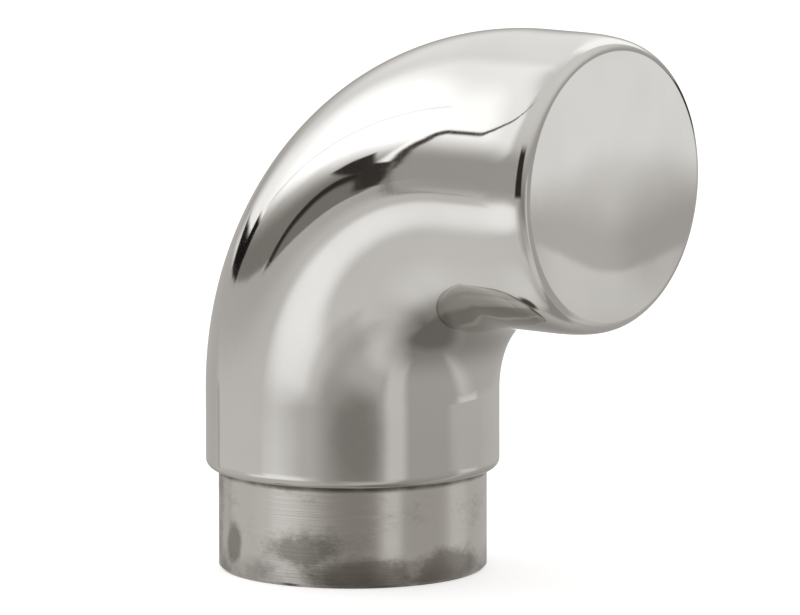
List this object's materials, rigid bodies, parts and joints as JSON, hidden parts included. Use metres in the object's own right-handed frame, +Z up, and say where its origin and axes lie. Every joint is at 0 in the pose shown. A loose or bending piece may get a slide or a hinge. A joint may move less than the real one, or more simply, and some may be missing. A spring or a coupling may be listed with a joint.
{
  "type": "handrail wall return",
  "caption": "Polished 90 degree handrail wall return with a spigot that fits inside the tube and a closed, softly rounded wall face.",
  "frame": {"origin": "where the spigot's axis meets the plane of the shoulder that the handrail tube butts on", "axes": "+Z up the spigot's axis into the bend, +X along the arm towards the wall face"},
  "size_m": [0.0829, 0.0508, 0.0959],
  "materials": {
    "polished_steel": "mirror polished stainless steel on the body, satin on the spigot"
  },
  "bodies": {
    "root": {"wall_return_elbow": "polished_steel"}
  },
  "joints": []
}
